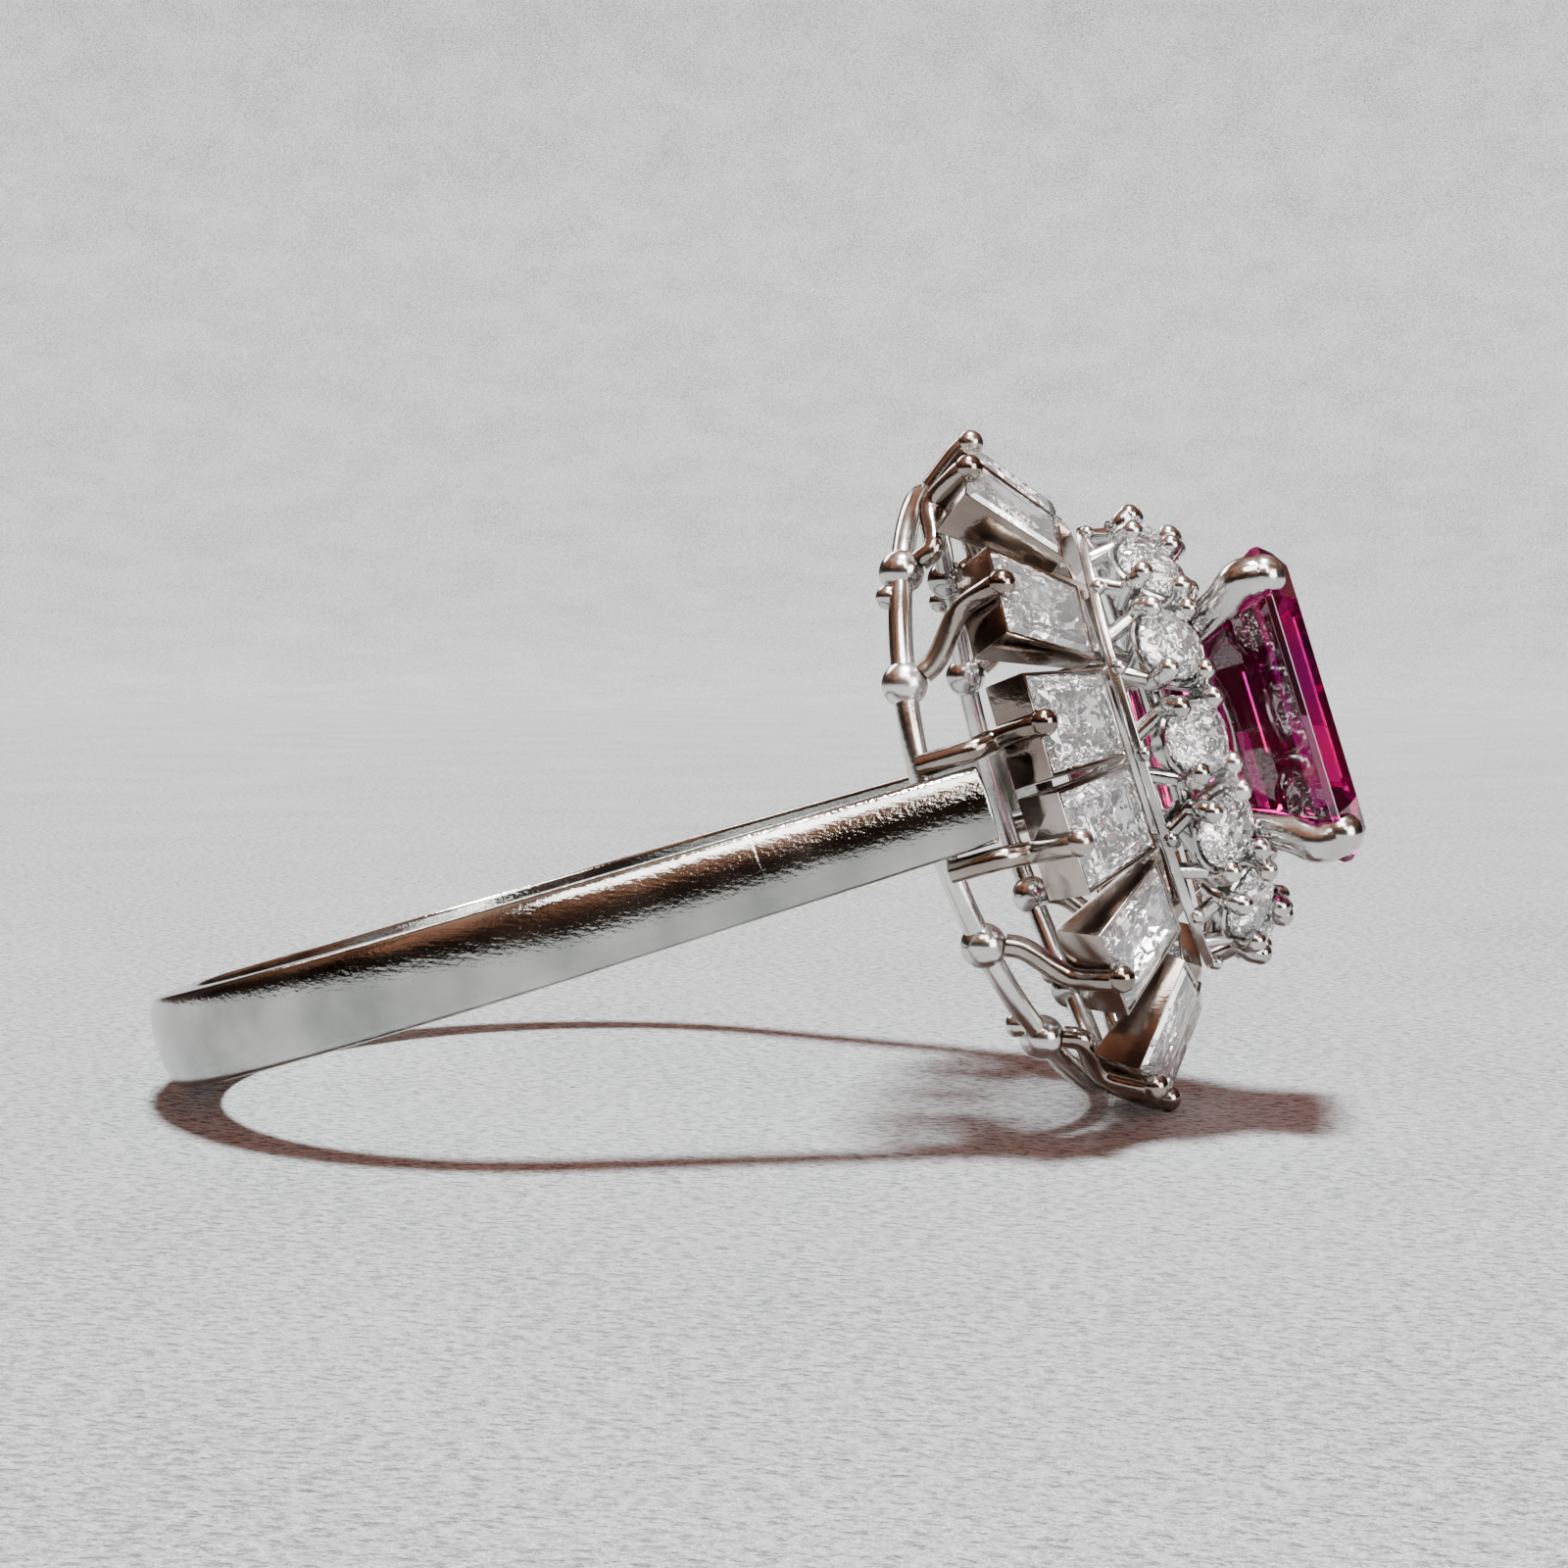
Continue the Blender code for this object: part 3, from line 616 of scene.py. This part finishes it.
def ruby_sides():
    """(point, azimuth) of the eight sides of the octagon."""
    corner = Vector((RUBY_HALF_WIDTH - RUBY_CORNER / 2, RUBY_HALF_LENGTH - RUBY_CORNER / 2, 0))
    sides = []
    for turn in range(4):
        azimuth = turn * math.pi / 2
        place = Vector((RUBY_HALF_WIDTH * math.cos(azimuth), RUBY_HALF_LENGTH * math.sin(azimuth), 0))
        sides.append((place, azimuth))
    for x_side in (1, -1):
        for y_side in (1, -1):
            place = Vector((x_side * corner.x, y_side * corner.y, 0))
            sides.append((place, math.atan2(y_side, x_side)))
    return sides


def octagon_ruby(name, clearance=0.0):
    """Crown in two steps and pavilion in three, all parallel to the girdle."""
    bm = bmesh.new()
    bmesh.ops.create_cube(bm, size=12.0)
    cut(bm, (0, 0, RUBY_GIRDLE / 2 + RUBY_CROWN + clearance), (0, 0, 1))
    cut(bm, (0, 0, -RUBY_GIRDLE / 2 - RUBY_PAVILION - clearance), (0, 0, -1))
    for point, azimuth in ruby_sides():
        outward = slanted(azimuth, math.pi / 2, 0)
        cut(bm, point + clearance * outward, outward)
    up_steps = ((0.0, 0.0, 48.0), (0.24, 0.267, 33.0))
    down_steps = ((0.0, 0.0, 57.0), (0.55, 0.847, 47.0), (1.35, 1.705, 38.0))
    for point, azimuth in ruby_sides():
        outward = slanted(azimuth, math.pi / 2, 0)
        for inset, rise, angle in up_steps:
            place = point - inset * outward + Vector((0, 0, RUBY_GIRDLE / 2 + rise))
            facing = slanted(azimuth, math.radians(angle), 1)
            cut(bm, place + clearance * facing, facing)
        for inset, drop, angle in down_steps:
            place = point - inset * outward - Vector((0, 0, RUBY_GIRDLE / 2 + drop))
            facing = slanted(azimuth, math.radians(angle), -1)
            cut(bm, place + clearance * facing, facing)
    return mesh_object(name, bm)


def ruby_claws():
    """Four heavy claws rising from an oval bearer, notched to the stone's girdle."""
    base = wire("ruby_claws", oval_path(BASE_A, BASE_B, BASE_Z, BASE_Z, 96), BASE_RADIUS, True)
    parts = []
    for x_side in (1, -1):
        for y_side in (1, -1):
            path = [
                Vector((x_side * 1.36, y_side * 1.7, 14.25)),
                Vector((x_side * 1.68, y_side * 2.06, 15.7)),
                Vector((x_side * 2.12, y_side * 2.6, 17.0)),
                Vector((x_side * 2.4, y_side * 3.0, 17.6)),
                Vector((x_side * 2.36, y_side * 2.95, 18.1)),
            ]
            turn = math.atan2(y_side * 2.0 / SEAT_B, x_side * 1.6 / SEAT_A)
            bearer = oval_point(SEAT_A, SEAT_B, turn, SEAT_Z - 0.1, SEAT_Z - 0.1)
            foot = Vector((path[0].x, path[0].y, 14.9))
            parts.append(wire("strut", [foot, bearer], CLAW_STRUT_RADIUS))
            smooth = smooth_path(path, 8)
            swell = [0.86 + 0.16 * index / (len(smooth) - 1) for index in range(len(smooth))]
            parts.append(wire("claw", smooth, RUBY_CLAW_RADIUS, False, swell))
            parts.append(ball("tip", path[-1], RUBY_CLAW_RADIUS * 1.05))
    combine(base, parts, "UNION")
    bearing = octagon_ruby("bearing", FIT)
    bearing.data.transform(Matrix.Translation((0, 0, RUBY_GIRDLE_Z)))
    return combine(base, [bearing], "DIFFERENCE")


# --- Materials ---------------------------------------------------------------------------------


class Nodes:
    """Short names for building one material's node tree."""

    def __init__(self, name):
        self.material = bpy.data.materials.new(name)
        self.material.use_nodes = True
        self.tree = self.material.node_tree
        self.shader = self.tree.nodes["Principled BSDF"]

    def add(self, kind, **settings):
        node = self.tree.nodes.new(kind)
        for key, value in settings.items():
            if hasattr(node, key):
                setattr(node, key, value)
            else:
                node.inputs[key].default_value = value
        return node

    def link(self, source, target):
        self.tree.links.new(source, target)

    def place(self, stretch=(1.0, 1.0, 1.0), turn=(0.0, 0.0, 0.0)):
        """Object coordinates, stretched and turned, for a texture's vector."""
        coordinates = self.add("ShaderNodeTexCoord")
        mapping = self.add("ShaderNodeMapping")
        mapping.inputs["Scale"].default_value = stretch
        mapping.inputs["Rotation"].default_value = turn
        self.link(coordinates.outputs["Object"], mapping.inputs["Vector"])
        return mapping.outputs["Vector"]

    def noise(self, vector, scale, detail=4.0, roughness=0.55):
        node = self.add("ShaderNodeTexNoise")
        node.inputs["Scale"].default_value = scale
        node.inputs["Detail"].default_value = detail
        node.inputs["Roughness"].default_value = roughness
        self.link(vector, node.inputs["Vector"])
        return node.outputs["Fac"]

    def remap(self, source, low, high, to_low, to_high):
        node = self.add("ShaderNodeMapRange")
        node.inputs["From Min"].default_value = low
        node.inputs["From Max"].default_value = high
        node.inputs["To Min"].default_value = to_low
        node.inputs["To Max"].default_value = to_high
        self.link(source, node.inputs["Value"])
        return node.outputs["Result"]

    def mixed(self, share, one, two):
        node = self.add("ShaderNodeMix", data_type="RGBA")
        node.inputs[6].default_value = (*one, 1.0)
        node.inputs[7].default_value = (*two, 1.0)
        self.link(share, node.inputs["Factor"])
        return node.outputs[2]

    def sum(self, one, two):
        node = self.add("ShaderNodeMath", operation="ADD")
        self.link(one, node.inputs[0])
        self.link(two, node.inputs[1])
        return node.outputs[0]

    def bump(self, height, strength, distance):
        node = self.add("ShaderNodeBump")
        node.inputs["Strength"].default_value = strength
        node.inputs["Distance"].default_value = distance
        self.link(height, node.inputs["Height"])
        self.link(node.outputs["Normal"], self.shader.inputs["Normal"])


def platinum(name, dark, bright, low_roughness, high_roughness, scratch):
    """Polished platinum: cloudy polish, fine crossing scratches and small dents."""
    nodes = Nodes(name)
    nodes.shader.inputs["Metallic"].default_value = 1.0
    cloud = nodes.noise(nodes.place(), 420.0, 3.0)
    tone = nodes.mixed(nodes.remap(cloud, 0.35, 0.65, 0.0, 1.0), dark, bright)
    nodes.link(tone, nodes.shader.inputs["Base Color"])
    polish = nodes.remap(cloud, 0.35, 0.7, low_roughness, high_roughness)
    nodes.link(polish, nodes.shader.inputs["Roughness"])
    first = nodes.noise(nodes.place((1.0, 14.0, 14.0), (0.2, 0.5, 0.3)), 900.0, 3.0)
    second = nodes.noise(nodes.place((12.0, 1.0, 12.0), (0.5, 0.1, 0.9)), 800.0, 3.0)
    dents = nodes.noise(nodes.place(), 650.0, 2.0)
    nodes.bump(nodes.sum(nodes.sum(first, second), dents), scratch, 0.00001)
    return nodes.material


def diamond(name, tint, clarity, sparkle):
    """Colourless stone: faint zoning and polish lines, and small cells that break up the light."""
    nodes = Nodes(name)
    nodes.shader.inputs["Transmission Weight"].default_value = 0.93
    nodes.shader.inputs["IOR"].default_value = 2.42
    zones = nodes.noise(nodes.place(), 500.0, 2.0)
    nodes.link(nodes.mixed(zones, (1.0, 1.0, 1.0), tint), nodes.shader.inputs["Base Color"])
    lines = nodes.noise(nodes.place((1.0, 9.0, 1.0)), 1400.0, 2.0)
    nodes.link(nodes.remap(lines, 0.3, 0.8, 0.0, clarity), nodes.shader.inputs["Roughness"])
    facets = nodes.add("ShaderNodeTexVoronoi", Scale=2600.0)
    nodes.link(nodes.place(), facets.inputs["Vector"])
    nodes.bump(facets.outputs["Distance"], sparkle, 0.00012)
    return nodes.material


def ruby_red():
    """Magenta body in random redder and bluer zones, with silk as faint streaks of roughness."""
    nodes = Nodes("ruby_red")
    nodes.shader.inputs["Transmission Weight"].default_value = 0.94
    nodes.shader.inputs["IOR"].default_value = 1.77
    zones = nodes.noise(nodes.place((1.0, 1.0, 2.0)), 260.0, 3.0)
    share = nodes.remap(zones, 0.35, 0.65, 0.0, 1.0)
    colour = nodes.mixed(share, (0.3, 0.001, 0.05), (0.15, 0.001, 0.1))
    nodes.link(colour, nodes.shader.inputs["Base Color"])
    silk = nodes.noise(nodes.place((1.0, 8.0, 1.0), (0.4, 0.0, 0.6)), 1500.0, 3.0)
    nodes.link(nodes.remap(silk, 0.45, 0.8, 0.0, 0.02), nodes.shader.inputs["Roughness"])
    return nodes.material


def felt():
    """Pale grey wool felt: matted fibres in crossing directions over slow tone changes."""
    nodes = Nodes("felt")
    nodes.shader.inputs["Roughness"].default_value = 0.95
    nodes.shader.inputs["Sheen Weight"].default_value = 0.25
    nodes.shader.inputs["Specular IOR Level"].default_value = 0.1
    fibres = []
    for number, turn in enumerate((0.3, 1.3, 2.4)):
        vector = nodes.place((1.0, 2.2, 1.0), (0.0, 0.0, turn))
        fibres.append(nodes.noise(vector, 2400.0 + 800.0 * number, 3.0, 0.65))
    fine = nodes.sum(nodes.sum(fibres[0], fibres[1]), fibres[2])
    slow = nodes.remap(nodes.noise(nodes.place(), 90.0, 3.0), 0.0, 1.0, 0.0, 0.25)
    share = nodes.remap(nodes.sum(fine, slow), 1.42, 1.7, 0.0, 1.0)
    colour = nodes.mixed(share, (0.26, 0.27, 0.29), (1.0, 1.0, 1.0))
    nodes.link(colour, nodes.shader.inputs["Base Color"])
    nodes.bump(fine, 1.0, 0.0012)
    return nodes.material


# --- The stage ---------------------------------------------------------------------------------


def felt_sheet(name, profile, centre, finish):
    """A round sheet through (radius, height) points about the ring."""
    bm = bmesh.new()
    steps = 96
    rings = []
    for radius, height in profile:
        ring = []
        for step in range(steps):
            angle = math.tau * step / steps
            ring.append(bm.verts.new((radius * math.cos(angle), radius * math.sin(angle), height)))
        rings.append(ring)
    for ring, following in zip(rings, rings[1:]):
        for index in range(steps):
            after = (index + 1) % steps
            bm.faces.new((ring[index], ring[after], following[after], following[index]))
    sheet = mesh_object(name, bm)
    sheet.location = (centre.x, centre.y, 0.0)
    sheet.data.shade_smooth()
    sheet.data.materials.append(finish)
    return sheet


def floor(centre):
    """Pale felt under the ring, turning up far away into a backdrop that only the eye sees."""
    flat, sweep = 0.3, 0.3
    finish = felt()
    felt_sheet("felt_floor", [(radius, 0.0) for radius in (0.0001, 0.05, 0.1, 0.2, flat)],
               centre, finish)
    profile = []
    for step in range(33):
        angle = math.radians(72.0) * step / 32
        profile.append((flat + sweep * math.sin(angle), sweep * (1 - math.cos(angle))))
    backdrop = felt_sheet("felt_backdrop", profile, centre, finish)
    backdrop.visible_glossy = False
    backdrop.visible_transmission = False
    backdrop.visible_shadow = False


def softbox(name, place, aim, size, power, colour):
    """A rectangular light that shows in polished metal and stones, but doesn't light the felt."""
    light = bpy.data.lights.new(name, "AREA")
    light.shape = "RECTANGLE"
    light.size, light.size_y = size
    light.energy = power
    light.color = colour
    lamp = bpy.data.objects.new(name, light)
    lamp.location = place
    lamp.rotation_euler = (Vector(aim) - Vector(place)).to_track_quat("-Z", "Y").to_euler()
    lamp.visible_diffuse = False
    bpy.context.scene.collection.objects.link(lamp)
    return lamp


def sparkle_panels(hoop):
    """Bright panels all round, high and low, that only light inside the stones can reach."""
    turns = ((-150, 35), (-120, 12), (-95, 48), (-70, 20), (-40, 40), (-15, 14), (10, 50), (60, 30),
             (130, 40), (-60, 68))
    for number, (azimuth, elevation) in enumerate(turns):
        away = Vector(
            (
                math.cos(math.radians(azimuth)) * math.cos(math.radians(elevation)),
                math.sin(math.radians(azimuth)) * math.cos(math.radians(elevation)),
                math.sin(math.radians(elevation)),
            )
        )
        side = 0.05 + 0.02 * (number % 3)
        lamp = softbox(f"sparkle_{number}", hoop + 0.2 * away, hoop, (side, side), 110.0 * side ** 2,
                       (1.0, 0.985, 0.97))
        lamp.visible_glossy = False
        lamp.visible_camera = False


def sun(name, energy, spread, colour):
    light = bpy.data.lights.new(name, "SUN")
    light.energy = energy
    light.angle = math.radians(spread)
    light.color = colour
    lamp = bpy.data.objects.new(name, light)
    bpy.context.scene.collection.objects.link(lamp)
    return lamp


def lights(hoop):
    """Daylight from overhead, a warm bounce that fills its shadows, and the softboxes."""
    sky = sun("skylight", 14.0, 11.0, (0.9, 0.98, 1.0))
    sky.rotation_euler = (math.radians(4.0), math.radians(3.0), 0.0)
    fill = sun("warm_bounce", 1.5, 170.0, (1.0, 0.2, 0.04))
    fill.visible_glossy = False
    fill.visible_transmission = False
    for name, (x, y, height), aim, size, power, colour in SOFTBOXES:
        place = (hoop.x + x, hoop.y + y, height)
        softbox(name, place, (hoop.x, hoop.y, aim), size, power, colour)
    sparkle_panels(hoop)


def room():
    """A dim brown room, seen only in reflections: dark low down, coppery above, pale overhead."""
    world = bpy.data.worlds.new("room")
    world.use_nodes = True
    tree = world.node_tree
    background = tree.nodes["Background"]
    coordinates = tree.nodes.new("ShaderNodeTexCoord")
    split = tree.nodes.new("ShaderNodeSeparateXYZ")
    ramp = tree.nodes.new("ShaderNodeValToRGB")
    patches = tree.nodes.new("ShaderNodeTexNoise")
    patches.inputs["Scale"].default_value = 3.2
    patches.inputs["Detail"].default_value = 2.0
    shade = tree.nodes.new("ShaderNodeMapRange")
    shade.inputs["From Min"].default_value = 0.42
    shade.inputs["From Max"].default_value = 0.62
    shade.inputs["To Min"].default_value = 0.35
    shade.inputs["To Max"].default_value = 1.6
    tree.links.new(coordinates.outputs["Generated"], split.inputs[0])
    tree.links.new(coordinates.outputs["Generated"], patches.inputs["Vector"])
    tree.links.new(patches.outputs["Fac"], shade.inputs["Value"])
    tree.links.new(split.outputs["Z"], ramp.inputs["Fac"])
    tree.links.new(ramp.outputs["Color"], background.inputs["Color"])
    tree.links.new(shade.outputs["Result"], background.inputs["Strength"])
    stops = (
        (0.0, (0.10, 0.075, 0.065)),
        (0.12, (0.035, 0.022, 0.018)),
        (0.30, (0.05, 0.028, 0.022)),
        (0.50, (0.42, 0.19, 0.115)),
        (0.75, (0.42, 0.21, 0.14)),
        (1.0, (0.62, 0.42, 0.34)),
    )
    elements = ramp.color_ramp.elements
    while len(elements) < len(stops):
        elements.new(0.5)
    for element, (position, colour) in zip(elements, stops):
        element.position = position
        element.color = (*colour, 1.0)
    world.cycles_visibility.diffuse = False
    bpy.context.scene.world = world


def camera(hoop):
    """The view from in front and a little right of the hoop, close to table height."""
    yaw, pitch, roll = CAMERA_YAW, CAMERA_PITCH, CAMERA_ROLL
    forward = Vector(
        (-math.sin(yaw) * math.cos(pitch), math.cos(yaw) * math.cos(pitch), -math.sin(pitch))
    )
    level = Vector((math.cos(yaw), math.sin(yaw), 0.0))
    upright = level.cross(forward)
    right = math.cos(roll) * level + math.sin(roll) * upright
    up = -math.sin(roll) * level + math.cos(roll) * upright
    data = bpy.data.cameras.new("camera")
    data.sensor_width = 36.0
    data.lens = LENS
    data.clip_start = 0.002
    data.clip_end = 10.0
    made = bpy.data.objects.new("camera", data)
    bpy.context.scene.collection.objects.link(made)
    turn = Matrix((right, up, -forward)).transposed().to_4x4()
    made.matrix_world = Matrix.Translation(hoop + MM * Vector(CAMERA_PLACE)) @ turn
    bpy.context.scene.camera = made


# --- The ring ----------------------------------------------------------------------------------


def ring_frame(record):
    """The matrix from the ring's own millimetres to the row frame, and the hoop's centre."""
    seat = next(mount for mount in record["mounts"] if mount["name"] == "finger_seat")
    finger = Vector(seat["axis"]).normalized()
    across = Vector((0, 1, 0))
    outward = across.cross(finger)
    turn = Matrix((across, finger, outward)).transposed().to_4x4()
    hoop = Vector(seat["pos_m"])
    return Matrix.Translation(hoop) @ turn @ Matrix.Scale(MM, 4), hoop


def install(piece, matrix, finish, nodes, smooth_below=None):
    """Carries a piece into the row frame, gives it its material and body, and hides the CAD nodes it
    stands in for.
    """
    piece.data.transform(matrix)
    piece.data.materials.clear()
    piece.data.materials.append(finish)
    if smooth_below is None:
        piece.data.shade_flat()
    else:
        piece.data.shade_smooth()
        piece.data.set_sharp_from_angle(angle=math.radians(smooth_below))
    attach(piece, "root")
    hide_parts(*nodes)


def main():
    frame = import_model()
    to_row, hoop = ring_frame(frame["record"])

    # The band's darker tones are painted shade.
    band_metal = platinum("worn_platinum_painted_shade", *WORN_AND_SHADED)
    wire_metal = platinum("bright_platinum", *BRIGHT)
    # The collet walls' dark brown tones are painted reflection and shade.
    wall_metal = platinum("wall_platinum_painted_shade", *PAINTED_SHADE_WALLS)
    install(band(), to_row, band_metal, ["shank"], 40.0)
    install(gallery_wire(), to_row, wire_metal, ["gallery_rail"], 40.0)
    install(inner_strip(), to_row, wire_metal, ["inner_rail"], 40.0)
    install(halo_bearer(), to_row, wire_metal, ["halo_rail"], 40.0)
    install(ruby_claws(), to_row, wire_metal, ["ruby_setting"], 40.0)
    for number, (_, place, station, x_side, y_side) in enumerate(baguette_frames(), 1):
        box = collet(f"baguette_box_{number:02d}", place, station, x_side, y_side)
        install(box, to_row @ place, wall_metal, [f"collet_{number:02d}"], 30.0)
    clear = diamond("diamond_round", *CLEAR, sparkle=0.5)
    step_clear = diamond("diamond_step", *CLEAR, sparkle=0.28)
    pattern = step_cut_baguette("baguette_pattern")
    for number, (_, place, _, _, _) in enumerate(baguette_frames(), 1):
        stone = bpy.data.objects.new(f"baguette_stone_{number:02d}", pattern.data.copy())
        bpy.context.scene.collection.objects.link(stone)
        install(stone, to_row @ place, step_clear, [f"baguette_{number:02d}"])
    bpy.data.objects.remove(pattern, do_unlink=True)
    pattern = halo_cup()
    for number, place in enumerate(halo_frames(), 1):
        cup = bpy.data.objects.new(f"halo_setting_{number:02d}", pattern.data.copy())
        bpy.context.scene.collection.objects.link(cup)
        install(cup, to_row @ place, wire_metal, [f"halo_cup_{number:02d}"], 40.0)
    bpy.data.objects.remove(pattern, do_unlink=True)

    for name, node in frame["nodes"].items():
        if name.startswith("halo_diamond"):
            node.data.materials.clear()
            node.data.materials.append(clear)
            node.data.shade_flat()
    stone = bevelled(octagon_ruby("octagon_stone"), 0.012, 1)
    lift = Matrix.Translation((0, 0, RUBY_GIRDLE_Z))
    install(stone, to_row @ lift, ruby_red(), ["ruby"])

    floor(hoop)
    room()
    lights(hoop)
    camera(hoop)


main()
